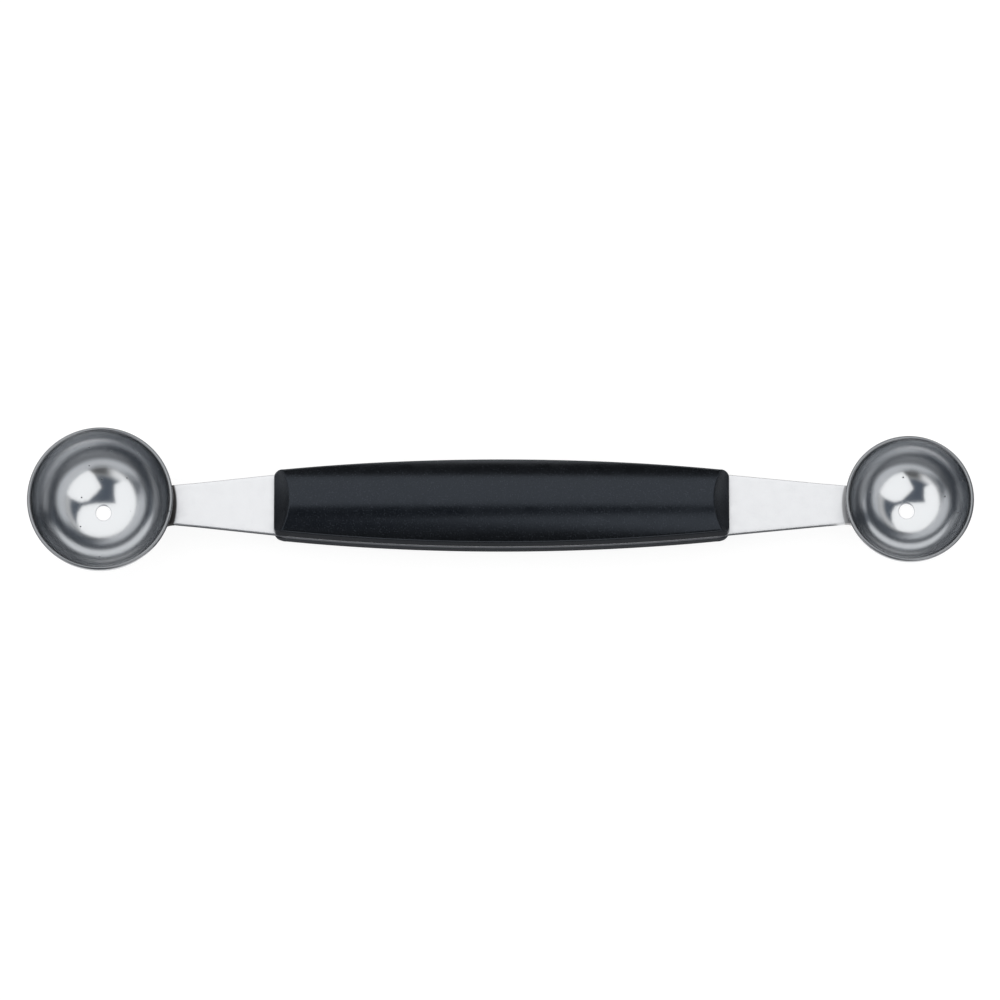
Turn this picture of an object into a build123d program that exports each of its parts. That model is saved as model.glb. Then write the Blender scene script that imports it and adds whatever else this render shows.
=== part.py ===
from build123d import *
import math
import os

# Double-ended melon baller, all sizes in millimetres.
# X runs along the tool from the large bowl to the small one, Y across it, Z up.
# The origin is under the middle of the tool, level with the foot of the large bowl, the ring
# around its drain hole.

# Overall
overall_length = 172.4
cut_overrun = 1.0          # how far a cutting solid reaches past what it cuts

# Bowls: hemispheres pressed from thin sheet, with their rims in one plane
large_inner_diameter = 25.4
small_inner_diameter = 22.2
bowl_wall = 0.6
rim_bevel = 0.18           # ground bevel on the outside of the rim
drain_hole_diameter = 2.8

# Tang: one flat steel blank from bowl to bowl, widest inside the handle
tang_thickness = 1.5
rim_above_tang = 5.2       # rim plane over the tang's upper face
bend_inside_radius = 1.4   # where the tang turns down beside each bowl
tab_end_angle = 55.0       # how far down the bowl the welded tab reaches, from the rim plane
tab_corner_radius = 2.0
large_tab_width = 7.3
small_tab_width = 7.1
tang_width_at_handle = 11.1
shoulder_length = 2.2      # from the handle's end to where the tang is as wide as the handle

# Handle: two moulded scales, one above and one below the tang
handle_length = 83.2
handle_shift = 0.2         # the handle's middle from the tool's middle, along X
handle_width = 15.8        # at the tang, in the middle of the handle
handle_side_radius = 411.0  # bow of each long side, seen from above
scale_height = 6.3         # from the tang's face to the crest, in the middle of the handle
crown_radius = 11.0        # across the upper scale
belly_radius = 14.0        # across the lower scale, flatter so that the tool lies still
crest_radius = 760.0       # along both, so that the crown's edges run level
side_draft = 2.3           # degrees, each side leans in away from the tang
end_facet_length = 3.0
end_facet_drop = 3.3
end_corner_radius = 1.0    # upright corners at the handle's ends
crown_edge_radius = 0.9    # along the crown's long edges
facet_edge_radius = 0.3    # all round the end facets

# Inside the scales: pockets that keep the wall thin, with pegs through the tang
scale_wall = 1.9
pocket_depth = 3.0
pocket_corner_radius = 1.0
rib_thickness = 1.4
outer_peg_inset = 14.6     # from the handle's end to the outer pegs
peg_diameter = 3.0
peg_boss_wall = 2.0        # plastic left around each peg and socket
peg_clearance = 0.15       # on the radius, in the tang's holes
socket_clearance = 0.03    # on the radius, in the upper scale's sockets
socket_depth = 3.0
peg_end_gap = 0.2          # from the peg's tip to the socket's floor
peg_tip_bevel = 0.35

# Places worked out from the sizes above
large_outer_radius = large_inner_diameter / 2 + bowl_wall
small_outer_radius = small_inner_diameter / 2 + bowl_wall
large_centre_x = -overall_length / 2 + large_outer_radius
small_centre_x = overall_length / 2 - small_outer_radius
rim_z = math.sqrt(large_outer_radius**2 - (drain_hole_diameter / 2) ** 2)
tang_top_z = rim_z - rim_above_tang
tang_bottom_z = tang_top_z - tang_thickness
tang_middle_z = tang_top_z - tang_thickness / 2
handle_half_length = handle_length / 2
handle_start_x = handle_shift - handle_half_length
handle_end_x = handle_shift + handle_half_length
bend_outside_radius = bend_inside_radius + tang_thickness
peg_spacing = handle_half_length - outer_peg_inset
peg_places = [handle_shift + step * peg_spacing for step in (-1, 0, 1)]


def handle_half_width(distance):
    """Half width of the handle at the tang, at a distance along X from the handle's middle."""
    bow = handle_side_radius - math.sqrt(handle_side_radius**2 - distance**2)
    return handle_width / 2 - bow


def crest_drop(distance):
    """How far the crest has sunk at a distance along X from the handle's middle."""
    return crest_radius - math.sqrt(crest_radius**2 - distance**2)


def bend_start(outer_radius):
    """Distance from a bowl's axis to where the tang starts to turn down.

    The bend's outside radius touches the flat face above and the bowl's ball beside it.
    """
    reach = outer_radius + bend_outside_radius
    drop = rim_above_tang + bend_outside_radius
    return math.sqrt(reach**2 - drop**2)


large_bend_x = large_centre_x + bend_start(large_outer_radius)
small_bend_x = small_centre_x - bend_start(small_outer_radius)

os.makedirs("parts", exist_ok=True)


# Bowls
bowls = [
    ("bowl_large", large_centre_x, large_inner_diameter / 2),
    ("bowl_small", small_centre_x, small_inner_diameter / 2),
]
for name, centre_x, inner_radius in bowls:
    outer_radius = inner_radius + bowl_wall
    axis_plane = Plane(origin=(centre_x, 0, rim_z), x_dir=(1, 0, 0), z_dir=(0, -1, 0))
    with BuildPart() as bowl:
        with BuildSketch(axis_plane):
            with BuildLine():
                Line((0, -outer_radius), (0, -inner_radius))
                CenterArc((0, 0), inner_radius, -90, 90)
                Line((inner_radius, 0), (outer_radius, 0))
                CenterArc((0, 0), outer_radius, -90, 90)
            make_face()
        revolve(axis=Axis((centre_x, 0, rim_z), (0, 0, 1)))
        outer_rim = bowl.edges().group_by(Axis.Z)[-1].sort_by(SortBy.RADIUS)[-1]
        chamfer(outer_rim, rim_bevel)
        with BuildSketch(Plane((centre_x, 0, rim_z))):
            Circle(drain_hole_diameter / 2)
        extrude(amount=-(outer_radius + cut_overrun), mode=Mode.SUBTRACT)
    bowl.part.label = name
    export_step(bowl.part, f"parts/{name}.step")


# Tabs at the tang's ends: the section turns down, then follows the bowl, and is swept about its axis
tabs = []
tab_sizes = [
    (large_centre_x, large_outer_radius, large_tab_width, 1),
    (small_centre_x, small_outer_radius, small_tab_width, -1),
]
for centre_x, outer_radius, tab_width, side in tab_sizes:
    bend_x = bend_start(outer_radius)
    bend_z = -(rim_above_tang + bend_outside_radius)
    touch_angle = math.degrees(math.atan2(-bend_z, bend_x))
    section_plane = Plane(origin=(centre_x, 0, rim_z), x_dir=(side, 0, 0), z_dir=(0, -side, 0))
    with BuildPart() as tab:
        with BuildSketch(section_plane):
            with BuildLine():
                outside_bend = CenterArc(
                    (bend_x, bend_z), bend_outside_radius, 90, 90 - touch_angle)
                along_bowl = CenterArc(
                    (0, 0), outer_radius, -touch_angle, touch_angle - tab_end_angle)
                inside_bend = CenterArc(
                    (bend_x, bend_z), bend_inside_radius, 90, 90 - touch_angle)
                off_bowl = CenterArc(
                    (0, 0), outer_radius + tang_thickness, -touch_angle, touch_angle - tab_end_angle)
                Line(outside_bend @ 0, inside_bend @ 0)
                Line(along_bowl @ 1, off_bowl @ 1)
            make_face()
        revolve(axis=Axis((centre_x, 0, rim_z), (0, 0, 1)))
        # only the strip beside the tang stays
        with BuildSketch(Plane((centre_x, 0, 0))):
            with Locations((side * bend_x / 2, 0)):
                Rectangle(bend_x, tab_width)
        extrude(amount=rim_z, mode=Mode.INTERSECT)
        tip = tab.edges().filter_by(GeomType.LINE).sort_by(Axis.Z)[:2]
        fillet(tip, tab_corner_radius)
    tabs.append(tab.part)


# Tang: the flat blank, cut to the bends, with the tabs and the peg holes
arc_reach = handle_half_length - shoulder_length
arc_width = handle_half_width(arc_reach)
arc_start_x = handle_shift - arc_reach
arc_end_x = handle_shift + arc_reach
with BuildPart() as tang:
    with BuildSketch(Plane.XY.offset(tang_bottom_z)):
        with BuildLine():
            Polyline(
                (arc_end_x, -arc_width),
                (handle_end_x, -tang_width_at_handle / 2),
                (small_bend_x, -small_tab_width / 2),
                (small_centre_x, -small_tab_width / 2),
                (small_centre_x, small_tab_width / 2),
                (small_bend_x, small_tab_width / 2),
                (handle_end_x, tang_width_at_handle / 2),
                (arc_end_x, arc_width),
            )
            ThreePointArc(
                (arc_end_x, arc_width), (handle_shift, handle_width / 2), (arc_start_x, arc_width))
            Polyline(
                (arc_start_x, arc_width),
                (handle_start_x, tang_width_at_handle / 2),
                (large_bend_x, large_tab_width / 2),
                (large_centre_x, large_tab_width / 2),
                (large_centre_x, -large_tab_width / 2),
                (large_bend_x, -large_tab_width / 2),
                (handle_start_x, -tang_width_at_handle / 2),
                (arc_start_x, -arc_width),
            )
            ThreePointArc(
                (arc_start_x, -arc_width), (handle_shift, -handle_width / 2), (arc_end_x, -arc_width))
        make_face()
        with Locations((large_centre_x, 0)):
            Circle(bend_start(large_outer_radius), mode=Mode.SUBTRACT)
        with Locations((small_centre_x, 0)):
            Circle(bend_start(small_outer_radius), mode=Mode.SUBTRACT)
        with Locations([(place, 0) for place in peg_places]):
            Circle(peg_diameter / 2 + peg_clearance, mode=Mode.SUBTRACT)
    extrude(amount=tang_thickness)
    for tab_part in tabs:
        add(tab_part)
tang.part.label = "tang"
export_step(tang.part, "parts/tang.step")


# Scale forms: the mouldings of the two halves, both drawn above the tang
crest_z = tang_top_z + scale_height
facet_top_z = crest_z - crest_drop(handle_half_length - end_facet_length)
end_half_width = handle_half_width(handle_half_length)
facet_rise = end_facet_drop / end_facet_length
boss_radius = peg_diameter / 2 + peg_boss_wall
rib_centre = peg_spacing / 2
pocket_spans = [
    (boss_radius, rib_centre - rib_thickness / 2),
    (rib_centre + rib_thickness / 2, peg_spacing - boss_radius),
    (peg_spacing + boss_radius, handle_half_length - end_facet_length),
]
scale_forms = []
for across_radius in (crown_radius, belly_radius):
    with BuildPart() as scale_form:
        with BuildSketch(Plane.XY.offset(tang_top_z)) as scale_outline:
            with BuildLine():
                Line((handle_end_x, -end_half_width), (handle_end_x, end_half_width))
                ThreePointArc(
                    (handle_end_x, end_half_width),
                    (handle_shift, handle_width / 2),
                    (handle_start_x, end_half_width),
                )
                Line((handle_start_x, end_half_width), (handle_start_x, -end_half_width))
                ThreePointArc(
                    (handle_start_x, -end_half_width),
                    (handle_shift, -handle_width / 2),
                    (handle_end_x, -end_half_width),
                )
            make_face()
            fillet(scale_outline.vertices(), end_corner_radius)
        extrude(amount=scale_height, taper=side_draft)

        # crown: the section across the handle, turned along the crest
        crest_axis = Axis((handle_shift, 0, crest_z - crest_radius), (0, -1, 0))
        section_x = handle_shift + crest_radius - across_radius
        with BuildSketch(Plane(origin=(section_x, 0, crest_z - crest_radius), x_dir=(0, 1, 0))):
            Circle(across_radius)
        revolve(axis=crest_axis, revolution_arc=180, mode=Mode.INTERSECT)
        crown_sides = scale_form.faces().filter_by(GeomType.TORUS).edges().sort_by(SortBy.LENGTH)[-2:]
        fillet(crown_sides, crown_edge_radius)

        # sloping facet at each end
        for end_x, inward in ((handle_start_x, 1), (handle_end_x, -1)):
            low_z = facet_top_z - end_facet_drop - facet_rise * cut_overrun
            high_z = facet_top_z + facet_rise * cut_overrun
            with BuildSketch(Plane.XZ):
                with BuildLine():
                    Polyline(
                        (end_x - inward * cut_overrun, low_z),
                        (end_x + inward * (end_facet_length + cut_overrun), high_z),
                        (end_x - inward * cut_overrun, high_z),
                        close=True,
                    )
                make_face()
            extrude(amount=handle_width, both=True, mode=Mode.SUBTRACT)
        facets = scale_form.faces().filter_by(GeomType.PLANE).sort_by(Axis.Z)[-2:]
        fillet(facets.edges(), facet_edge_radius)

        # pockets on both sides of the middle, between the pegs, the ribs and the end walls
        with BuildSketch(Plane.XY.offset(tang_top_z)) as pockets:
            for near, far in pocket_spans:
                pocket_width = 2 * (handle_half_width(far) - scale_wall)
                for direction in (-1, 1):
                    with Locations((handle_shift + direction * (near + far) / 2, 0)):
                        RectangleRounded(far - near, pocket_width, pocket_corner_radius)
        extrude(amount=pocket_depth, mode=Mode.SUBTRACT)
    scale_forms.append(scale_form.part)


# Upper scale: the form with a socket over each peg
with BuildPart() as scale_upper:
    add(scale_forms[0])
    with BuildSketch(Plane.XY.offset(tang_top_z)):
        with Locations([(place, 0) for place in peg_places]):
            Circle(peg_diameter / 2 + socket_clearance)
    extrude(amount=socket_depth, mode=Mode.SUBTRACT)
scale_upper.part.label = "scale_upper"
export_step(scale_upper.part, "parts/scale_upper.step")


# Lower scale: the flatter form turned over below the tang, with the pegs that hold the three together
with BuildPart() as scale_lower:
    add(mirror(scale_forms[1], about=Plane.XY.offset(tang_middle_z)))
    with BuildSketch(Plane.XY.offset(tang_bottom_z)):
        with Locations([(place, 0) for place in peg_places]):
            Circle(peg_diameter / 2)
    extrude(amount=tang_thickness + socket_depth - peg_end_gap)
    peg_tips = scale_lower.edges().group_by(Axis.Z)[-1]
    chamfer(peg_tips, peg_tip_bevel)
scale_lower.part.label = "scale_lower"
export_step(scale_lower.part, "parts/scale_lower.step")
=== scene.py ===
import math

import bmesh
import bpy
import numpy as np
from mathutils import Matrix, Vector


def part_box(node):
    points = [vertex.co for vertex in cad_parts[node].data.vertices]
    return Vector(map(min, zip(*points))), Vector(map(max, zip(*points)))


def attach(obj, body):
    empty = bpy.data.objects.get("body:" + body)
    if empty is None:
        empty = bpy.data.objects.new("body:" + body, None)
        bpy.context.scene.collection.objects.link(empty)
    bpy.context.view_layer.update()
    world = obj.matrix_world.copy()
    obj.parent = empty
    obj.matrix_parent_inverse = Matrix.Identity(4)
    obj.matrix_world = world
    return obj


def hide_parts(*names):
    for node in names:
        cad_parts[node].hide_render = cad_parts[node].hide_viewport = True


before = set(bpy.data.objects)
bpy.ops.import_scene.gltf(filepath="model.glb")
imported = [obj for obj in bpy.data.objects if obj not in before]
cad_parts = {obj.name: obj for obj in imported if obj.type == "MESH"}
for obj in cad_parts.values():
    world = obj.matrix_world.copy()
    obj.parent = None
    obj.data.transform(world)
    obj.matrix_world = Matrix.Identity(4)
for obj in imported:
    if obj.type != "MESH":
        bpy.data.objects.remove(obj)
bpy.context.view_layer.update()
mm = 0.001  # every size below is written in millimetres and multiplied by this

print("frame loaded:", len(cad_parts), "nodes")


# Meshes and nodes

noiseLow, noiseHigh = 0.3, 0.7  # nearly all of a noise texture lies between these
mergeDistance = 0.0005 * mm
leastEdge = 0.0002 * mm


def linearColour(hexCode):
    # sRGB hex code to a linear RGBA tuple
    parts = [int(hexCode[i:i + 2], 16) / 255 for i in (1, 3, 5)]
    linear = [c / 12.92 if c <= 0.04045 else ((c + 0.055) / 1.055) ** 2.4 for c in parts]
    return (*linear, 1.0)


def addNode(tree, kind, links=None, **settings):
    # Adds one node: settings are its properties, links are its inputs, each a value or a socket
    node = tree.nodes.new(kind)
    for key, value in settings.items():
        setattr(node, key, value)
    for key, value in (links or {}).items():
        if isinstance(value, bpy.types.NodeSocket):
            tree.links.new(value, node.inputs[key])
        else:
            node.inputs[key].default_value = value
    return node


def newMaterial(name):
    # An empty node material with its output
    material = bpy.data.materials.new(name)
    material.use_nodes = True
    material.node_tree.nodes.clear()
    output = addNode(material.node_tree, "ShaderNodeOutputMaterial")
    return material, material.node_tree, output


def tidyMesh(mesh):
    # Merges points that meet, drops what that leaves without area and turns all faces outwards
    work = bmesh.new()
    work.from_mesh(mesh)
    bmesh.ops.remove_doubles(work, verts=work.verts, dist=mergeDistance)
    bmesh.ops.dissolve_degenerate(work, edges=work.edges, dist=leastEdge)
    bmesh.ops.recalc_face_normals(work, faces=work.faces)
    work.to_mesh(mesh)
    work.free()


def gridPiece(name, points, material, closeAlong=False):
    # Mesh from a grid of points, shape (along, around, 3).
    # Each point joins its neighbours in both directions, and the grid closes on itself around,
    # and also along if closeAlong is set. Points that meet are merged
    along, around = points.shape[:2]
    index = np.arange(along * around).reshape(along, around)
    nextAround = np.roll(index, -1, axis=1)
    here, there = index[:-1], nextAround[:-1]
    hereNext, thereNext = index[1:], nextAround[1:]
    if closeAlong:
        here, there = index, nextAround
        hereNext, thereNext = np.roll(index, -1, axis=0), np.roll(nextAround, -1, axis=0)
    faces = np.stack([here, there, thereNext, hereNext], axis=-1).reshape(-1, 4)
    mesh = bpy.data.meshes.new(name)
    mesh.from_pydata(points.reshape(-1, 3).tolist(), [], faces.tolist())
    piece = bpy.data.objects.new(name, mesh)
    bpy.context.scene.collection.objects.link(piece)
    tidyMesh(mesh)
    mesh.polygons.foreach_set("use_smooth", np.ones(len(mesh.polygons), bool))
    mesh.materials.append(material)
    mesh.update()
    return piece


def arc(centre, radius, fromDegrees, toDegrees, count):
    # Points of a circular arc in a plane, ends included, as an array (count, 2)
    angle = np.radians(np.linspace(fromDegrees, toDegrees, count))
    across = centre[0] + radius * np.cos(angle)
    up = centre[1] + radius * np.sin(angle)
    return np.stack([across, up], axis=-1)


def smoothStep(low, high, value):
    # 0 below low, 1 above high, with a smooth rise 3 t t - 2 t t t between
    t = np.clip((value - low) / (high - low), 0, 1)
    return t * t * (3 - 2 * t)


def nodeBall(node):
    # A bowl's axis, rim height and outer radius, from its CAD node's box
    low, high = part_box(node)
    return (low.x + high.x) / 2, high.z, (high.x - low.x) / 2


largeX, rimZ, largeRadius = nodeBall("bowl_large")
smallX, _, smallRadius = nodeBall("bowl_small")


# Materials


def makeBowlSteel():
    # 304 stainless steel sheet, drawn in a die and tumble-polished: a bright, slightly wavy
    # mirror in the foot, rougher up the steep wall, with faint rings, and dull on the ground lip.
    # Its colour is painted greyer up the wall, most of all in a band half way up: painted shade
    # for the darker reflections there
    values = {
        "colour": "#d3d5d7",
        "paintedWallShade": "#bfc1c4",
        "paintedBandShade": "#9a9c9f",
        "lipColour": "#8c8e91",
        "footRoughness": 0.15,
        "wallRoughness": 0.20,
        # depths under the rim, as shares of the bowl's radius: the rougher finish and the painted
        # wall shade start, and are full; the darker painted shade band starts to fade, and has
        # faded
        "wallStart": 0.69,
        "wallFull": 0.61,
        "shadeBandTop": 0.50,
        "shadeBandEnd": 0.39,
        "lipDepth": 0.45,     # mm under the rim, as far as the grinding of the lip shows
        "ringSize": 0.9,      # mm between the rings, by height
        "ringHeight": 0.006,
        "waveSize": 4.5,      # mm, slow waves left by the drawing
        "waveHeight": 0.008,
        "markSize": 0.35,     # mm, rubbing marks from the tumbling stones
        "markHeight": 0.0012,
        "pitColour": "#5a5c60",
        "pitSpacing": 2.7,    # mm between the few pits
        "pitSize": 0.36,      # mm, drawn as coarse as one needs to show
    }
    material, tree, output = newMaterial("polished304Steel")
    place = addNode(tree, "ShaderNodeTexCoord").outputs["Object"]
    split = addNode(tree, "ShaderNodeSeparateXYZ", {0: place})
    height = split.outputs["Z"]
    # each bowl's own radius: it changes at the tool's middle, where no bowl is
    radius = addNode(tree, "ShaderNodeMapRange", {
        "Value": split.outputs["X"], "From Min": -mm, "From Max": mm,
        "To Min": largeRadius, "To Max": smallRadius})
    depth = addNode(tree, "ShaderNodeMath", {0: rimZ, 1: height}, operation="SUBTRACT")
    share = addNode(tree, "ShaderNodeMath", {
        0: depth.outputs["Value"], 1: radius.outputs["Result"]}, operation="DIVIDE")
    waves = addNode(tree, "ShaderNodeTexNoise", {
        "Vector": place, "Scale": 1 / (values["waveSize"] * mm),
        "Detail": 1.0, "Roughness": 0.4})
    marks = addNode(tree, "ShaderNodeTexNoise", {
        "Vector": place, "Scale": 1 / (values["markSize"] * mm),
        "Detail": 3.0, "Roughness": 0.6})
    rings = addNode(tree, "ShaderNodeTexNoise", {
        "W": height, "Scale": 1 / (values["ringSize"] * mm),
        "Detail": 2.0}, noise_dimensions="1D")
    pits = addNode(tree, "ShaderNodeTexVoronoi", {
        "Vector": place, "Scale": 1 / (values["pitSpacing"] * mm)})
    pitEdge = values["pitSize"] / values["pitSpacing"] / 2
    pitMask = addNode(tree, "ShaderNodeMapRange", {
        "Value": pits.outputs["Distance"], "From Min": pitEdge, "From Max": pitEdge * 0.5,
        "To Min": 0.0, "To Max": 1.0})
    # the wall's share: where the finish grows rougher and the painted wall shade sets in
    wall = addNode(tree, "ShaderNodeMapRange", {
        "Value": share.outputs["Value"], "From Min": values["wallStart"],
        "From Max": values["wallFull"]}, interpolation_type="SMOOTHSTEP")
    overShadeBand = addNode(tree, "ShaderNodeMapRange", {
        "Value": share.outputs["Value"], "From Min": values["shadeBandTop"],
        "From Max": values["shadeBandEnd"]}, interpolation_type="SMOOTHSTEP")
    lip = addNode(tree, "ShaderNodeMapRange", {
        "Value": height, "From Min": rimZ - values["lipDepth"] * mm,
        "From Max": rimZ - values["lipDepth"] / 2 * mm})
    # painted shade: the steel's colour darkened up the wall, most of all in a band half way up, for
    # the darker reflections there
    paintedBandShadeMix = addNode(tree, "ShaderNodeMix", {
        "Factor": overShadeBand.outputs["Result"], "A": linearColour(values["paintedBandShade"]),
        "B": linearColour(values["paintedWallShade"])}, data_type="RGBA")
    paintedWallShadeMix = addNode(tree, "ShaderNodeMix", {
        "Factor": wall.outputs["Result"], "A": linearColour(values["colour"]),
        "B": paintedBandShadeMix.outputs["Result"]}, data_type="RGBA")
    lipShade = addNode(tree, "ShaderNodeMix", {
        "Factor": lip.outputs["Result"], "A": paintedWallShadeMix.outputs["Result"],
        "B": linearColour(values["lipColour"])}, data_type="RGBA")
    rough = addNode(tree, "ShaderNodeMapRange", {
        "Value": wall.outputs["Result"], "To Min": values["footRoughness"],
        "To Max": values["wallRoughness"]})
    pittedRough = addNode(tree, "ShaderNodeMath", {
        0: rough.outputs["Result"], 1: pitMask.outputs["Result"]},
        operation="ADD", use_clamp=True)
    colour = addNode(tree, "ShaderNodeMix", {
        "Factor": pitMask.outputs["Result"], "A": lipShade.outputs["Result"],
        "B": linearColour(values["pitColour"])}, data_type="RGBA")
    waveBump = addNode(tree, "ShaderNodeBump", {
        "Height": waves.outputs["Fac"], "Strength": 1.0,
        "Distance": values["waveHeight"] * mm})
    ringBump = addNode(tree, "ShaderNodeBump", {
        "Height": rings.outputs["Fac"], "Strength": 1.0,
        "Distance": values["ringHeight"] * mm, "Normal": waveBump.outputs["Normal"]})
    markBump = addNode(tree, "ShaderNodeBump", {
        "Height": marks.outputs["Fac"], "Strength": 1.0,
        "Distance": values["markHeight"] * mm, "Normal": ringBump.outputs["Normal"]})
    shader = addNode(tree, "ShaderNodeBsdfPrincipled", {
        "Base Color": colour.outputs["Result"], "Metallic": 1.0,
        "Roughness": pittedRough.outputs["Value"], "Normal": markBump.outputs["Normal"]})
    tree.links.new(shader.outputs["BSDF"], output.inputs["Surface"])
    return material


def makeTangSteel():
    # Stainless strip, blanked, deburred in a tumbler and left satin: a soft near-white sheen
    # with a faint mottle. Beside each bowl its colour is painted brown-black in an arc round the
    # rim: painted shade where the strip runs in under the bowl's overhanging wall
    values = {
        "colour": "#dcdddf",
        "mottleColour": "#8d8f93",
        "mottleShare": 0.05,  # of the mottle's colour in its darkest spots
        "roughness": 0.34,
        "roughnessSpread": 0.05,
        "mottleSize": 1.1,    # mm, the tumbler's uneven cut
        "grainSize": 0.22,    # mm, coarser than a real satin grain so that it just shows
        "grainHeight": 0.0015,
        # painted shade beside each rim: its colour, width, fade and share at each bowl
        "paintedRimShadeColour": "#2a211b",
        "paintedRimShadeWidth": 0.56,    # mm outwards from each rim
        "paintedRimShadeEdge": 0.25,     # mm over which it fades
        "paintedRimShadeShare": {"large": 0.9, "small": 0.5},
    }
    material, tree, output = newMaterial("satinStainlessStrip")
    place = addNode(tree, "ShaderNodeTexCoord").outputs["Object"]
    mottle = addNode(tree, "ShaderNodeTexNoise", {
        "Vector": place, "Scale": 1 / (values["mottleSize"] * mm),
        "Detail": 4.0, "Roughness": 0.6})
    grain = addNode(tree, "ShaderNodeTexNoise", {
        "Vector": place, "Scale": 1 / (values["grainSize"] * mm),
        "Detail": 2.0, "Roughness": 0.5})
    rough = addNode(tree, "ShaderNodeMapRange", {
        "Value": mottle.outputs["Fac"], "From Min": noiseLow, "From Max": noiseHigh,
        "To Min": values["roughness"] - values["roughnessSpread"],
        "To Max": values["roughness"] + values["roughnessSpread"]})
    shade = addNode(tree, "ShaderNodeMapRange", {
        "Value": mottle.outputs["Fac"], "From Min": noiseLow, "From Max": noiseHigh,
        "To Min": 1 - values["mottleShare"], "To Max": 1.0})
    colour = addNode(tree, "ShaderNodeMix", {
        "Factor": shade.outputs["Result"], "A": linearColour(values["mottleColour"]),
        "B": linearColour(values["colour"])}, data_type="RGBA")
    rimShadedColour = colour.outputs["Result"]
    flat = addNode(tree, "ShaderNodeVectorMath", {0: place, 1: (1.0, 1.0, 0.0)},
                   operation="MULTIPLY")
    # painted shade: an arc of brown-black round each rim, darker at the large bowl
    for name, centreX, radius in (("large", largeX, largeRadius), ("small", smallX, smallRadius)):
        reach = addNode(tree, "ShaderNodeVectorMath", {
            0: flat.outputs["Vector"], 1: (centreX, 0.0, 0.0)}, operation="DISTANCE")
        rimShadeMask = addNode(tree, "ShaderNodeMapRange", {
            "Value": reach.outputs["Value"], "From Min": radius + values["paintedRimShadeWidth"] * mm,
            "From Max": radius + (values["paintedRimShadeWidth"] - values["paintedRimShadeEdge"]) * mm,
            "To Min": 0.0, "To Max": values["paintedRimShadeShare"][name]})
        rimShadeMix = addNode(tree, "ShaderNodeMix", {
            "Factor": rimShadeMask.outputs["Result"], "A": rimShadedColour,
            "B": linearColour(values["paintedRimShadeColour"])}, data_type="RGBA")
        rimShadedColour = rimShadeMix.outputs["Result"]
    bump = addNode(tree, "ShaderNodeBump", {
        "Height": grain.outputs["Fac"], "Strength": 1.0,
        "Distance": values["grainHeight"] * mm})
    shader = addNode(tree, "ShaderNodeBsdfPrincipled", {
        "Base Color": rimShadedColour, "Metallic": 1.0,
        "Roughness": rough.outputs["Result"], "Normal": bump.outputs["Normal"]})
    tree.links.new(shader.outputs["BSDF"], output.inputs["Surface"])
    return material


def makeHandlePlastic():
    # Black ABS, injection moulded in a spark-eroded tool: a cool black with a low sheen, whose
    # fine even grain breaks each highlight into a soft speckled band
    values = {
        "colour": "#07080a",
        "speckColour": "#24272b",
        "speckStart": 0.54,   # of the grain's height, where a grain starts to look lighter
        "speckFull": 0.74,
        "sheenTint": "#d5e2f5",
        "refraction": 1.50,
        "roughness": 0.24,
        "roughnessSpread": 0.03,
        "grainSize": 0.28,    # mm, about three times the real grain so that it shows
        "grainHeight": 0.006,
        "patchSize": 2.5,     # mm, slow variation from handling
    }
    material, tree, output = newMaterial("mouldedBlackAbs")
    place = addNode(tree, "ShaderNodeTexCoord").outputs["Object"]
    grain = addNode(tree, "ShaderNodeTexNoise", {
        "Vector": place, "Scale": 1 / (values["grainSize"] * mm),
        "Detail": 2.0, "Roughness": 0.55})
    patches = addNode(tree, "ShaderNodeTexNoise", {
        "Vector": place, "Scale": 1 / (values["patchSize"] * mm),
        "Detail": 2.0, "Roughness": 0.5})
    rough = addNode(tree, "ShaderNodeMapRange", {
        "Value": patches.outputs["Fac"], "From Min": noiseLow, "From Max": noiseHigh,
        "To Min": values["roughness"] - values["roughnessSpread"],
        "To Max": values["roughness"] + values["roughnessSpread"]})
    specks = addNode(tree, "ShaderNodeMapRange", {
        "Value": grain.outputs["Fac"], "From Min": values["speckStart"],
        "From Max": values["speckFull"]})
    colour = addNode(tree, "ShaderNodeMix", {
        "Factor": specks.outputs["Result"], "A": linearColour(values["colour"]),
        "B": linearColour(values["speckColour"])}, data_type="RGBA")
    bump = addNode(tree, "ShaderNodeBump", {
        "Height": grain.outputs["Fac"], "Strength": 1.0,
        "Distance": values["grainHeight"] * mm})
    shader = addNode(tree, "ShaderNodeBsdfPrincipled", {
        "Base Color": colour.outputs["Result"], "Roughness": rough.outputs["Result"],
        "IOR": values["refraction"], "Specular Tint": linearColour(values["sheenTint"]),
        "Normal": bump.outputs["Normal"]})
    tree.links.new(shader.outputs["BSDF"], output.inputs["Surface"])
    return material


bowlSteel = makeBowlSteel()
tangSteel = makeTangSteel()
handlePlastic = makeHandlePlastic()
print("materials made")


# Bowls

bowl = {
    "wall": 0.6 * mm,
    "drainHole": 2.8 * mm,
    "rimInside": 0.22 * mm,   # the rim is ground and tumbled nearly round
    "rimOutside": 0.34 * mm,
    "holeEdge": 0.10 * mm,    # punched edges, rolled over by the tumbling
    "stepsAround": 240,
    "stepsInside": 90,
    "stepsOutside": 80,
    "edgeSteps": 5,
    "outerRimSteps": 7,
}


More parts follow.
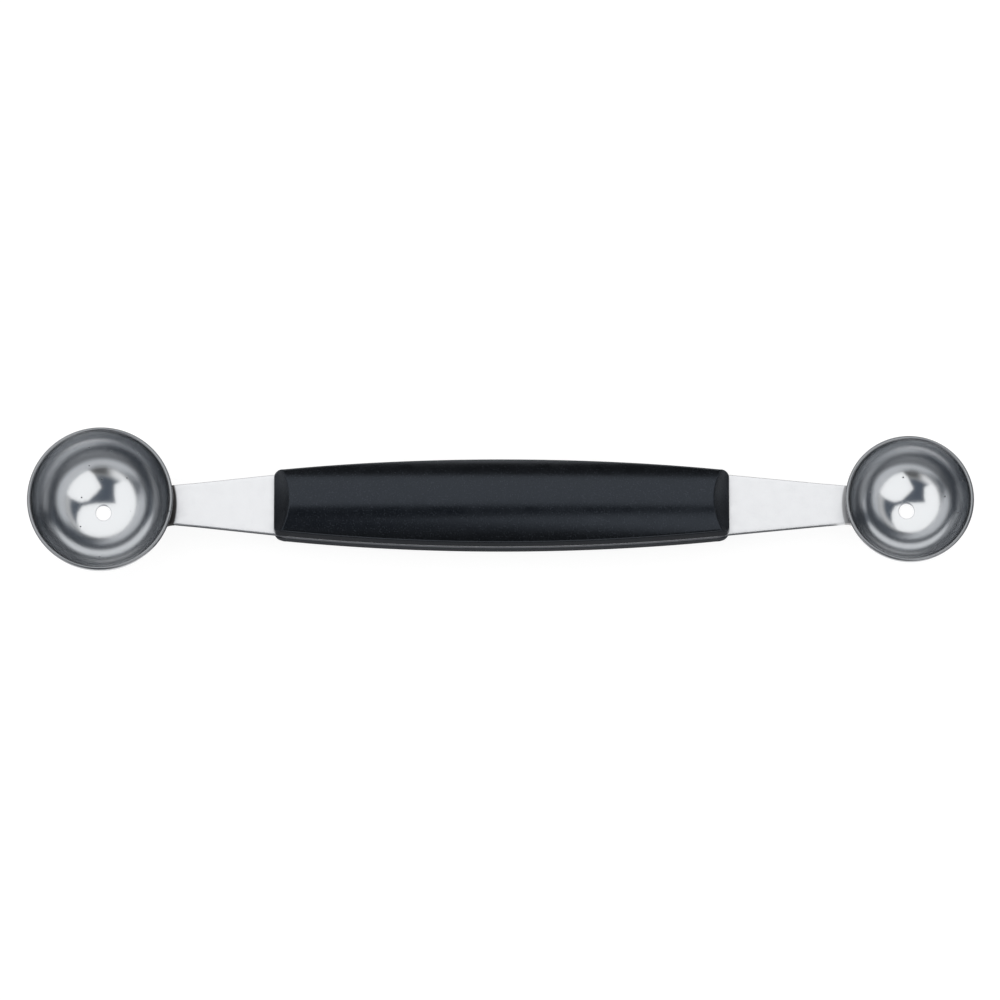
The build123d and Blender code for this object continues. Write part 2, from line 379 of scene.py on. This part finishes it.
def bowlShape(centreX, outerRadius):
    # Surface of revolution. The profile is two concentric arcs, the inside and the outside of
    # the wall, joined by small quarter circles over the rim and round the drain hole; each point
    # (r, z) is turned about the bowl's upright axis: x = r cos a, y = r sin a
    innerRadius = outerRadius - bowl["wall"]
    edge = bowl["holeEdge"]
    holeReach = bowl["drainHole"] / 2 + edge
    inLip, outLip = bowl["rimInside"], bowl["rimOutside"]
    innerStart = math.degrees(math.asin(holeReach / innerRadius))
    outerStart = math.degrees(math.asin(holeReach / outerRadius))
    innerFloor = -math.sqrt(innerRadius**2 - holeReach**2)
    outerFloor = -math.sqrt(outerRadius**2 - holeReach**2)
    lipDrop = math.degrees(math.asin(inLip / innerRadius))
    outDrop = math.degrees(math.asin(outLip / outerRadius))
    profile = np.concatenate([
        arc((0, 0), innerRadius, -90 + innerStart, -lipDrop, bowl["stepsInside"]),
        arc((innerRadius + inLip, -inLip), inLip, 180, 90, bowl["edgeSteps"]),
        arc((outerRadius - outLip, -outLip), outLip, 90, 0, bowl["outerRimSteps"]),
        arc((0, 0), outerRadius, -outDrop, -90 + outerStart, bowl["stepsOutside"]),
        arc((holeReach, outerFloor + edge), edge, 270, 180, bowl["edgeSteps"]),
        arc((holeReach, innerFloor - edge), edge, 180, 90, bowl["edgeSteps"]),
    ])
    turn = np.linspace(0, 2 * math.pi, bowl["stepsAround"], endpoint=False)
    r, z = profile[:, 0][:, None], profile[:, 1][:, None]
    return np.stack([centreX + r * np.cos(turn), r * np.sin(turn), rimZ + z + 0 * turn], axis=-1)


bowlLarge = gridPiece("bowlLarge", bowlShape(largeX, largeRadius), bowlSteel, closeAlong=True)
bowlSmall = gridPiece("bowlSmall", bowlShape(smallX, smallRadius), bowlSteel, closeAlong=True)
for piece, node in ((bowlLarge, "bowl_large"), (bowlSmall, "bowl_small")):
    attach(piece, "root")
    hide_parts(node)
print("bowls made")


# Handle sizes, shared by the scales and the tang between them

handle = {
    "sideRadius": 411.0 * mm,    # bow of the long sides
    "crownRadius": 11.0 * mm,    # across the upper scale
    "bellyRadius": 14.0 * mm,    # across the lower scale
    "crestRadius": 760.0 * mm,   # along both
    "draft": math.radians(2.3),
    "facetLength": 3.0 * mm,
    "facetDrop": 3.3 * mm,
    "cornerRadius": 1.0 * mm,
    "crownEdge": 0.9 * mm,       # round along the crown's long edges
    "facetEdge": 0.3 * mm,       # round along the facets' sides and ends
    "baseEdge": 0.10 * mm,       # parting edge beside the tang
}
scaleLow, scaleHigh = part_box("scale_upper")
scaleHeight = scaleHigh.z - scaleLow.z
tangTop = scaleLow.z
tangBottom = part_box("scale_lower")[0].z + scaleHeight
handleMiddle = (scaleLow.x + scaleHigh.x) / 2
halfLength = (scaleHigh.x - scaleLow.x) / 2
halfWidth = (scaleHigh.y - scaleLow.y) / 2


def arcDrop(radius, distance):
    # How far a circle has sunk at a distance from its top: its sagitta r - sqrt(r r - d d)
    return radius - np.sqrt(radius**2 - distance**2)


def sideOf(distance):
    # Half width of the handle at a distance along X from its middle: a shallow circular bow
    return halfWidth - arcDrop(handle["sideRadius"], distance)


# Scales

scale = {
    "ridgeZone": 0.6 * mm,    # length of the close stations inwards of the ridge
    "warpEnd": 9.0 * mm,      # where the cross lines are straight again, inwards of the facet
    "edgeFade": 1.2 * mm,     # length over which the facets' small round grows into the crown's
    "ridgeBlend": 0.14 * mm,  # height over which facet and crown run into each other
    "leanFade": 3.0 * mm,     # length over which the end wall's lean dies out
    "cornerSteps": 25,
    "facetSteps": 10,
    "ridgeSteps": 13,
    "crownSteps": 60,
    "baseSteps": 4,
    "baseEdgeSteps": 4,
    "wallSteps": 8,
    "roundSteps": 10,
    "topSteps": 41,
}


def crownHeight(fromEnd, y, across):
    # Height of the crown over the tang: it sinks along the handle and across it, by two circles
    along = arcDrop(handle["crestRadius"], halfLength - fromEnd)
    return scaleHeight - along - arcDrop(across, y)


facetSlope = handle["facetDrop"] / handle["facetLength"]
facetTop = crownHeight(handle["facetLength"], 0.0, handle["crownRadius"])


def facetHeight(fromEnd):
    # Height of the end facet over the tang: a straight slope, rounded into the end wall by an arc
    lean = math.atan(facetSlope)
    endHeight = facetTop - handle["facetDrop"]
    radius = handle["facetEdge"]
    tangent = radius * (1 - math.sin(lean))
    arcCentre = endHeight + facetSlope * tangent - radius * math.cos(lean)
    rounded = arcCentre + np.sqrt(radius**2 - np.clip(radius - fromEnd, 0, radius) ** 2)
    return np.where(fromEnd < tangent, rounded, endHeight + facetSlope * fromEnd)


def topHeight(fromEnd, y, across):
    # Height of the top over the tang: the lower of crown and facet, blended where they meet
    crown = crownHeight(fromEnd, y, across)
    facet = facetHeight(fromEnd)
    blend = scale["ridgeBlend"]
    near = np.clip(1 - np.abs(crown - facet) / blend, 0, 1)
    return np.minimum(crown, facet) - near**2 * blend / 4


def scaleShape(up):
    # A lofted shell: across each station along X runs a closed section. Each half of it goes out
    # along the base, up the drafted side, over a round and along the top to the middle; the
    # other half mirrors it. The last station shrinks to the middle plane and closes the end wall
    across = handle["crownRadius"] if up else handle["bellyRadius"]
    corner = handle["cornerRadius"]
    ridge = handle["facetLength"]
    ridgeEnd = ridge + scale["ridgeZone"]
    lean = math.tan(handle["draft"])

    # stations by their distance from the end in the middle. The cross lines on the facet follow
    # its ridge, so near the sides they crowd together by the share that is left of the facet
    endWidth = float(sideOf(halfLength))
    crowding = 1 - arcDrop(across, endWidth) / facetSlope / ridge
    cornerTurn = np.radians(np.linspace(0, 90, scale["cornerSteps"]))
    cornerPart = corner * (1 - np.cos(cornerTurn)) / crowding
    facetPart = np.linspace(cornerPart[-1], ridge, scale["facetSteps"])[1:]
    ridgePart = np.linspace(ridge, ridgeEnd, scale["ridgeSteps"])[1:]
    crownPart = np.linspace(ridgePart[-1], halfLength, scale["crownSteps"])[1:]
    stations = np.concatenate([[0.0], cornerPart, facetPart, ridgePart, crownPart])
    collapse = np.ones(len(stations))
    collapse[0] = 0.0

    fromEnd = stations[:, None]
    warp = np.minimum(fromEnd / ridge, 1)
    warp = warp * (1 - smoothStep(ridgeEnd, scale["warpEnd"], fromEnd))

    def alongAt(y):
        # Distance from the end of a cross line's point: on the facet it bends with the ridge
        return fromEnd - warp * arcDrop(across, y) / facetSlope

    # the width depends on the place of the cross line's end, and that on the width
    width = np.full_like(fromEnd, endWidth)
    for _ in range(60):
        place = alongAt(width)
        inCorner = np.clip(corner - place, 0, corner)
        width = sideOf(halfLength - place) - arcDrop(corner, inCorner)
    fade = scale["edgeFade"] / 2
    grown = smoothStep(-fade, fade, fromEnd - ridge)
    radius = handle["facetEdge"] + (handle["crownEdge"] - handle["facetEdge"]) * grown

    # the round touches the wall and the top: halve the span until the two distances agree
    nearSide, farSide = np.zeros_like(width), np.full_like(width, 3.0 * mm)
    step = 0.01 * mm
    for _ in range(40):
        middle = (nearSide + farSide) / 2
        y = width - middle
        rise = (topHeight(alongAt(y - step), y - step, across)
                - topHeight(alongAt(y + step), y + step, across)) / (2 * step)
        slant = np.sqrt(1 + rise**2)
        centreIn = middle + radius * rise / slant
        centreUp = topHeight(alongAt(y), y, across) - radius / slant
        gap = (centreIn - centreUp * lean) * math.cos(handle["draft"]) - radius
        nearSide = np.where(gap < 0, middle, nearSide)
        farSide = np.where(gap < 0, farSide, middle)
    topAngle = np.arctan2(1 / slant, -rise / slant)
    wallAngle = math.pi - handle["draft"]
    wallTop = centreUp + radius * math.sin(handle["draft"])

    # half section, by how far each point lies inwards of the side and how high it lies
    base = handle["baseEdge"]
    baseShare = np.linspace(0, 1, scale["baseSteps"], endpoint=False)
    baseTurn = np.radians(np.linspace(-90, 0, scale["baseEdgeSteps"], endpoint=False))
    wallShare = np.linspace(0, 1, scale["wallSteps"], endpoint=False)
    roundShare = np.linspace(0, 1, scale["roundSteps"], endpoint=False)
    topShare = np.linspace(0, 1, scale["topSteps"])
    wallHeight = base + (wallTop - base) * wallShare
    turn = wallAngle + (topAngle - wallAngle) * roundShare
    topIn = farSide + (width - farSide) * topShare
    inwards = np.concatenate([
        width - (width - base) * baseShare,
        base - base * np.cos(baseTurn) + 0 * width,
        wallHeight * lean,
        centreIn + radius * np.cos(turn),
        topIn,
    ], axis=1)
    height = np.concatenate([
        0 * width + 0 * baseShare,
        base + base * np.sin(baseTurn) + 0 * width,
        wallHeight,
        centreUp + radius * np.sin(turn),
        topHeight(alongAt(width - topIn), width - topIn, across),
    ], axis=1)

    y = (width - inwards) * collapse[:, None]
    leanIn = height * lean * (1 - smoothStep(0, scale["leanFade"], fromEnd))
    along = alongAt(y) + leanIn
    half = np.stack([along - halfLength, y, height], axis=-1)
    otherSide = half[:, -2:0:-1] * (1, -1, 1)
    ring = np.concatenate([half, otherSide], axis=1)
    farEnd = ring[-2::-1] * (-1, 1, 1)
    shell = np.concatenate([ring, farEnd], axis=0)
    if up:
        return shell + (handleMiddle, 0, tangTop)
    return shell * (1, 1, -1) + (handleMiddle, 0, tangBottom)


scaleUpper = gridPiece("scaleUpper", scaleShape(up=True), handlePlastic)
scaleLower = gridPiece("scaleLower", scaleShape(up=False), handlePlastic)
for piece, node in ((scaleUpper, "scale_upper"), (scaleLower, "scale_lower")):
    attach(piece, "root")
    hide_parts(node)
print("scales made")


# Tang

tang = {
    "bendInside": 1.4 * mm,
    "tabEnd": 55.0,            # degrees below the rim plane
    "tabCorner": 2.0 * mm,
    "largeTabWidth": 7.3 * mm,
    "smallTabWidth": 7.1 * mm,
    "widthAtHandle": 11.1 * mm,
    "shoulder": 2.2 * mm,
    "edgeRound": 0.16 * mm,    # deburred edges
    "fadeOut": 4.0 * mm,       # where the cross lines stop following the bowl's round
    "tipSteps": 15,
    "tabSteps": 14,
    "bendSteps": 14,
    "neckSteps": 30,
    "shoulderSteps": 8,
    "insideSteps": 40,
    "edgeSteps": 7,
    "flatSteps": 8,
}


def tangEnd(centreX, outerRadius, tabWidth, side):
    # Half of the tang, from a tab's tip to the handle's middle, as a swept section.
    # The middle line is an arc along the bowl, a bend the other way up and a straight run. Across
    # it lies a flat section with rounded edges. Beside the bowl a point at distance y from the
    # middle moves in along X by r - sqrt(r r - y y), so that the strip wraps the bowl's ball
    thickness = tangTop - tangBottom
    drop = rimZ - tangTop
    bendMiddle = tang["bendInside"] + thickness / 2
    bendOutside = tang["bendInside"] + thickness
    bendX = math.sqrt((outerRadius + bendOutside) ** 2 - (drop + bendOutside) ** 2)
    touch = math.degrees(math.atan2(drop + bendOutside, bendX))
    tabRadius = outerRadius + thickness / 2
    toMiddle = side * (handleMiddle - centreX)

    # stations: arc length from the tip, place and upward normal of the middle line
    tabLength = math.radians(tang["tabEnd"] - touch) * tabRadius
    corner = tang["tabCorner"]
    tipPart = corner * (1 - np.cos(np.radians(np.linspace(0, 90, tang["tipSteps"]))))
    tabPart = np.linspace(corner, tabLength, tang["tabSteps"])[1:]
    tabArc = np.concatenate([[0.0], tipPart, tabPart])
    tabAngle = np.radians(-tang["tabEnd"] + np.degrees(tabArc / tabRadius))
    tabR, tabZ = tabRadius * np.cos(tabAngle), tabRadius * np.sin(tabAngle)
    tabNormal = np.stack([-np.cos(tabAngle), -np.sin(tabAngle)], axis=-1)
    bendTurn = np.radians(np.linspace(180 - touch, 90, tang["bendSteps"]))[1:]
    bendNormal = np.stack([np.cos(bendTurn), np.sin(bendTurn)], axis=-1)
    bendR = bendX + bendMiddle * bendNormal[:, 0]
    bendZ = -(drop + bendOutside) + bendMiddle * bendNormal[:, 1]
    neck = toMiddle - halfLength
    shoulderEnd = neck + tang["shoulder"]
    flatR = np.concatenate([np.linspace(bendX, neck, tang["neckSteps"])[1:],
                            np.linspace(neck, shoulderEnd, tang["shoulderSteps"])[1:],
                            np.linspace(shoulderEnd, toMiddle, tang["insideSteps"])[1:]])
    flatZ = np.full_like(flatR, -drop - thickness / 2)
    flatNormal = np.stack([np.zeros_like(flatR), np.ones_like(flatR)], axis=-1)
    r = np.concatenate([tabR, bendR, flatR])[:, None]
    z = np.concatenate([tabZ, bendZ, flatZ])[:, None]
    normal = np.concatenate([tabNormal, bendNormal, flatNormal])

    # half widths: rounded tip corners, the tab's width, a straight taper, the shoulder, the bow
    half = np.full(len(r), tabWidth / 2)
    half[:len(tabArc)] -= arcDrop(corner, np.clip(corner - tabArc, 0, corner))
    neckHalf = tang["widthAtHandle"] / 2
    taper = tabWidth / 2 + (neckHalf - tabWidth / 2) * (flatR - bendX) / (neck - bendX)
    growth = (flatR - neck) / tang["shoulder"]
    shoulder = neckHalf + (sideOf(halfLength - tang["shoulder"]) - neckHalf) * growth
    bowed = sideOf(np.minimum(toMiddle - flatR, halfLength))
    inside = np.where(flatR <= shoulderEnd, shoulder, bowed)
    half[-len(flatR):] = np.where(flatR <= neck, taper, inside)
    half = half[:, None]

    # section: a flat bar with rounded edges, thinner at the very tip, closed there
    edge = tang["edgeRound"]
    thick = np.full(len(r), thickness / 2)
    thick[:len(tabArc)] -= arcDrop(edge, np.clip(edge - tabArc, 0, edge))
    thick[0] = 0.0
    thick = thick[:, None]
    quarter = np.radians(np.linspace(0, 90, tang["edgeSteps"]))
    share = np.linspace(0, 1, tang["flatSteps"] + 1)[1:]
    halfAcross = np.concatenate([half - edge + edge * np.cos(quarter) + 0 * thick,
                                 (half - edge) * (1 - share)], axis=1)
    halfLift = np.concatenate([thick - edge + edge * np.sin(quarter), thick + 0 * share], axis=1)
    halfLift = np.maximum(halfLift, 0)
    across = np.concatenate([halfAcross, -halfAcross[:, -2::-1]], axis=1)
    lift = np.concatenate([halfLift, halfLift[:, -2::-1]], axis=1)
    across = np.concatenate([across, across[:, ::-1]], axis=1)
    lift = np.concatenate([lift, -lift[:, ::-1]], axis=1)

    pointR = r + lift * normal[:, :1]
    pointZ = z + lift * normal[:, 1:]
    wrap = 1 - smoothStep(0, tang["fadeOut"], r - bendX)
    x = centreX + side * (pointR - wrap * arcDrop(pointR, across))
    return np.stack([x, across, rimZ + pointZ], axis=-1)


largeHalf = tangEnd(largeX, largeRadius, tang["largeTabWidth"], 1)
smallHalf = tangEnd(smallX, smallRadius, tang["smallTabWidth"], -1)
tangPoints = np.concatenate([largeHalf, smallHalf[-2::-1]], axis=0)
tangPiece = gridPiece("tangStrip", tangPoints, tangSteel)
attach(tangPiece, "root")
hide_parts("tang")
print("tang made")


# Stage: a white floor with gloss-only sheets of painted shade on it, under a dim tent with three
# softboxes in it

stage = {
    "floorHalf": 3.0,            # metres
    "floorGap": 0.01 * mm,       # between the floor and the tool
    "floorColour": "#8c8c8c",
    "floorGlow": 0.86,           # what camera and gloss see of the floor besides its own shade
    # colour of the gloss-only sheets of painted shade, and their lift over the floor
    "paintedShadeColour": "#f2f6ff",
    "paintedShadeLift": 0.05 * mm,
    "softboxDistance": 0.85,
    "softboxLevel": 1.3,
    "tentRadius": 1.0,
    "tentColour": "#565e69",     # slate, where no softbox hangs
    "tentStepsAround": 48,
    "tentStepsUp": 31,
    "horizonLevel": 0.24,
    "beltLevel": 0.92,           # light spilled on the tent's walls below the softboxes
    "beltFull": 0.48,            # heights over the tool, as shares of the tent's radius: the
    "beltFadeFrom": 0.55,        # belt has its full level, starts to fade, and has given way
    "beltFadeTo": 0.70,          # to the slate
    "beltLean": 0.35,            # how much more of it there is on the left
    "beltMiddle": 0.12,          # its share straight behind and in front of the tool
    "beltMiddleHalf": 0.15,      # half the width of that dim part, and where it has ended,
    "beltMiddleEnd": 0.45,       # as shares of the tent's radius
    "worldLevel": 0.30,          # what the world adds all round to plain, matt colours
}

# grey sheets on the floor that only the gloss sees, painted shade for reflections: the tool's
# shadow under it and a darker floor to each side. From, to and half the width in metres, and glow
paintedFloorShades = {
    "paintedShadowUnderTool": (-0.062, 0.062, 0.028, 0.13),
    "paintedShadeLeft": (-0.30, -0.095, 0.07, 0.36),
    "paintedShadeRight": (0.095, 0.30, 0.07, 0.07),
}

# corners of the softboxes, seen from the tool, as shares of the distance along X and Y
softboxCorners = {
    "softboxFront": [(-0.08, -0.50), (0.05, -0.37), (0.28, -0.14), (0.50, -0.06),
                     (0.72, -0.12), (0.86, -0.25), (0.74, -0.52), (0.50, -0.75),
                     (0.26, -0.86), (0.12, -0.80)],
    "softboxLeft": [(-0.45, -0.08), (-0.42, -0.30), (-0.43, -0.53), (-0.62, -0.56),
                    (-0.74, -0.50), (-0.89, -0.15), (-0.89, 0.15), (-0.78, 0.42),
                    (-0.52, 0.20)],
    "softboxBack": [(-0.50, -0.05), (-0.25, -0.07), (0.05, -0.07), (0.30, -0.02),
                    (0.48, 0.05), (0.57, 0.25), (0.55, 0.50), (0.38, 0.74),
                    (0.0, 0.84), (-0.40, 0.78), (-0.76, 0.45)],
}


def stageMesh(name, points, faces, material):
    # A mesh that belongs to the stage and not to the tool
    mesh = bpy.data.meshes.new(name)
    mesh.from_pydata(points, [], faces)
    mesh.materials.append(material)
    piece = bpy.data.objects.new(name, mesh)
    bpy.context.scene.collection.objects.link(piece)
    return piece


def onlyGloss(piece):
    # Hides a piece of the stage from all but reflections
    piece.visible_camera = False
    piece.visible_diffuse = False
    piece.visible_shadow = False
    piece.visible_transmission = False


def seenDirectly(tree):
    # 1 for rays that show the background: from the camera, off a gloss or through a clear piece
    path = addNode(tree, "ShaderNodeLightPath")
    either = addNode(tree, "ShaderNodeMath", {
        0: path.outputs["Is Camera Ray"], 1: path.outputs["Is Glossy Ray"]}, operation="MAXIMUM")
    seen = addNode(tree, "ShaderNodeMath", {
        0: either.outputs["Value"], 1: path.outputs["Is Transmission Ray"]}, operation="MAXIMUM")
    return seen.outputs["Value"]


def glowMaterial(name, colour, level):
    # A plain glow of one colour
    material, tree, output = newMaterial(name)
    glow = addNode(tree, "ShaderNodeEmission", {"Color": colour, "Strength": level})
    tree.links.new(glow.outputs["Emission"], output.inputs["Surface"])
    return material


def makeFloor():
    # The tool stands on the large bowl and the belly of its handle, so the floor leans a little.
    # Only the camera, the gloss and clear pieces see its white glow
    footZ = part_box("bowl_large")[0].z
    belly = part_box("scale_lower")[0].z
    lean = (belly - footZ - stage["floorGap"]) / (handleMiddle - largeX)
    material, tree, output = newMaterial("whitePaperSweep")
    paper = addNode(tree, "ShaderNodeBsdfDiffuse", {"Color": linearColour(stage["floorColour"])})
    strength = addNode(tree, "ShaderNodeMath", {
        0: seenDirectly(tree), 1: stage["floorGlow"]}, operation="MULTIPLY")
    glow = addNode(tree, "ShaderNodeEmission", {"Strength": strength.outputs["Value"]})
    both = addNode(tree, "ShaderNodeAddShader", {
        0: paper.outputs["BSDF"], 1: glow.outputs["Emission"]})
    tree.links.new(both.outputs["Shader"], output.inputs["Surface"])

    def sheet(fromX, toX, halfY, lift):
        # Corners of a sheet that lies in the floor's plane: z = foot + lift + lean (x - large bowl)
        return [(x, y, footZ + lift + lean * (x - largeX)) for x, y in
                ((fromX, -halfY), (toX, -halfY), (toX, halfY), (fromX, halfY))]

    half = stage["floorHalf"]
    stageMesh("floor", sheet(-half, half, half, -stage["floorGap"]), [(0, 1, 2, 3)], material)
    # gloss-only sheets of painted shade: the tool's shadow and a darker floor, as reflections see
    # them
    for name, (fromX, toX, halfY, level) in paintedFloorShades.items():
        paintedShadeGlow = glowMaterial(name, linearColour(stage["paintedShadeColour"]), level)
        corners = sheet(fromX, toX, halfY, stage["paintedShadeLift"])
        onlyGloss(stageMesh(name, corners, [(0, 1, 2, 3)], paintedShadeGlow))


def makeSoftboxes():
    # A fan of triangles from the middle of each softbox to its corners, all on a ball round the
    # tool: z = sqrt(1 - x x - y y) of the distance
    cloth = glowMaterial("softboxCloth", (1.0, 1.0, 1.0, 1.0), stage["softboxLevel"])
    for name, corners in softboxCorners.items():
        shares = np.array([np.mean(corners, axis=0)] + corners)
        heights = np.sqrt(1 - (shares**2).sum(axis=1))
        points = np.column_stack([shares, heights]) * stage["softboxDistance"]
        count = len(corners)
        faces = [(0, 1 + i, 1 + (i + 1) % count) for i in range(count)]
        softbox = stageMesh(name, points.tolist(), faces, cloth)
        softbox.visible_camera = False


def makeTent():
    # Half a ball round the set: x = cos e cos a, y = cos e sin a, z = sin e, from just under the
    # horizon. Its glow depends on the height over the tool and on the place along X
    around, upwards = stage["tentStepsAround"], stage["tentStepsUp"]
    turn = np.linspace(0, 2 * math.pi, around, endpoint=False)
    rise = np.radians(np.linspace(-1, 89, upwards))[:, None]
    ball = np.stack([np.cos(rise) * np.cos(turn), np.cos(rise) * np.sin(turn),
                     np.sin(rise) + 0 * turn], axis=-1)
    index = np.arange(upwards * around).reshape(upwards, around)
    nextAround = np.roll(index, -1, axis=1)
    faces = np.stack([index[:-1], nextAround[:-1], nextAround[1:], index[1:]], axis=-1)
    faces = faces.reshape(-1, 4).tolist() + [index[-1].tolist()]
    material, tree, output = newMaterial("slateTent")
    place = addNode(tree, "ShaderNodeTexCoord").outputs["Object"]
    split = addNode(tree, "ShaderNodeSeparateXYZ", {0: place})
    height = split.outputs["Z"]
    radius = stage["tentRadius"]
    lean = addNode(tree, "ShaderNodeMapRange", {
        "Value": split.outputs["X"], "From Min": -radius, "From Max": radius,
        "To Min": 1 + stage["beltLean"], "To Max": 1 - stage["beltLean"]})
    below = addNode(tree, "ShaderNodeMapRange", {
        "Value": height, "From Min": stage["beltFadeTo"] * radius,
        "From Max": stage["beltFadeFrom"] * radius}, interpolation_type="SMOOTHSTEP")
    above = addNode(tree, "ShaderNodeMapRange", {
        "Value": height, "From Min": 0.0, "From Max": stage["beltFull"] * radius,
        "To Min": stage["horizonLevel"], "To Max": stage["beltLevel"]},
        interpolation_type="SMOOTHSTEP")
    aside = addNode(tree, "ShaderNodeMath", {0: split.outputs["X"]}, operation="ABSOLUTE")
    beside = addNode(tree, "ShaderNodeMapRange", {
        "Value": aside.outputs["Value"], "From Min": stage["beltMiddleHalf"] * radius,
        "From Max": stage["beltMiddleEnd"] * radius,
        "To Min": stage["beltMiddle"], "To Max": 1.0}, interpolation_type="SMOOTHSTEP")
    sides = addNode(tree, "ShaderNodeMath", {
        0: lean.outputs["Result"], 1: beside.outputs["Result"]}, operation="MULTIPLY")
    belt = addNode(tree, "ShaderNodeMath", {
        0: sides.outputs["Value"], 1: above.outputs["Result"]}, operation="MULTIPLY")
    colour = addNode(tree, "ShaderNodeMix", {
        "Factor": below.outputs["Result"], "A": linearColour(stage["tentColour"]),
        "B": (1.0, 1.0, 1.0, 1.0)}, data_type="RGBA")
    level = addNode(tree, "ShaderNodeMix", {
        "Factor": below.outputs["Result"], "A": 1.0, "B": belt.outputs["Value"]},
        data_type="FLOAT")
    glow = addNode(tree, "ShaderNodeEmission", {
        "Color": colour.outputs["Result"], "Strength": level.outputs["Result"]})
    tree.links.new(glow.outputs["Emission"], output.inputs["Surface"])
    onlyGloss(stageMesh("tent", (ball * radius).reshape(-1, 3).tolist(), faces, material))


def makeWorld():
    # White where the background is seen, dimmer where it only lights
    world = bpy.data.worlds.new("studio")
    bpy.context.scene.world = world
    world.use_nodes = True
    tree = world.node_tree
    tree.nodes.clear()
    output = addNode(tree, "ShaderNodeOutputWorld")
    level = addNode(tree, "ShaderNodeMapRange", {
        "Value": seenDirectly(tree), "To Min": stage["worldLevel"], "To Max": 1.0})
    background = addNode(tree, "ShaderNodeBackground", {
        "Color": (1.0, 1.0, 1.0, 1.0), "Strength": level.outputs["Result"]})
    tree.links.new(background.outputs["Background"], output.inputs["Surface"])


makeFloor()
makeSoftboxes()
makeTent()
makeWorld()
print("stage made")


# Camera

camera = {
    "elevation": 77.5,        # degrees
    "distance": 1.35,
    "nearest": 0.05,
    "farthest": 20.0,
    "sensorWidth": 36.0,
    "pixelsPerMm": 5.495,     # at the rims, in a picture of 1000 pixels
    "rimLine": 498.2,         # the rims' centres, in pixels from the top edge
    "middleColumn": 500.5,    # the tool's middle, in pixels from the left edge
    "pictureSize": 1000,
}


def makeCamera():
    # Looks from in front and above at the rims' plane. The lens gives the scale there:
    # lens = pixels per metre times distance times sensor width over picture size
    data = bpy.data.cameras.new("camera")
    eye = bpy.data.objects.new("camera", data)
    bpy.context.scene.collection.objects.link(eye)
    lift = math.radians(camera["elevation"])
    back = Vector((0, -math.cos(lift), math.sin(lift)))
    upwards = Vector((0, math.sin(lift), math.cos(lift)))
    scaleAtRim = camera["pixelsPerMm"] / mm
    middle = camera["pictureSize"] / 2
    aim = Vector((0, 0, rimZ))
    aim -= upwards * (middle - camera["rimLine"]) / scaleAtRim
    aim.x -= (camera["middleColumn"] - middle) / scaleAtRim
    eye.location = aim + back * camera["distance"]
    eye.rotation_mode = "QUATERNION"
    eye.rotation_quaternion = (-back).to_track_quat("-Z", "Y")
    data.sensor_width = camera["sensorWidth"]
    data.lens = scaleAtRim * camera["distance"] / camera["pictureSize"] * data.sensor_width
    data.clip_start, data.clip_end = camera["nearest"], camera["farthest"]
    bpy.context.scene.camera = eye


makeCamera()
bpy.context.scene.view_settings.view_transform = "Standard"
print("camera made")
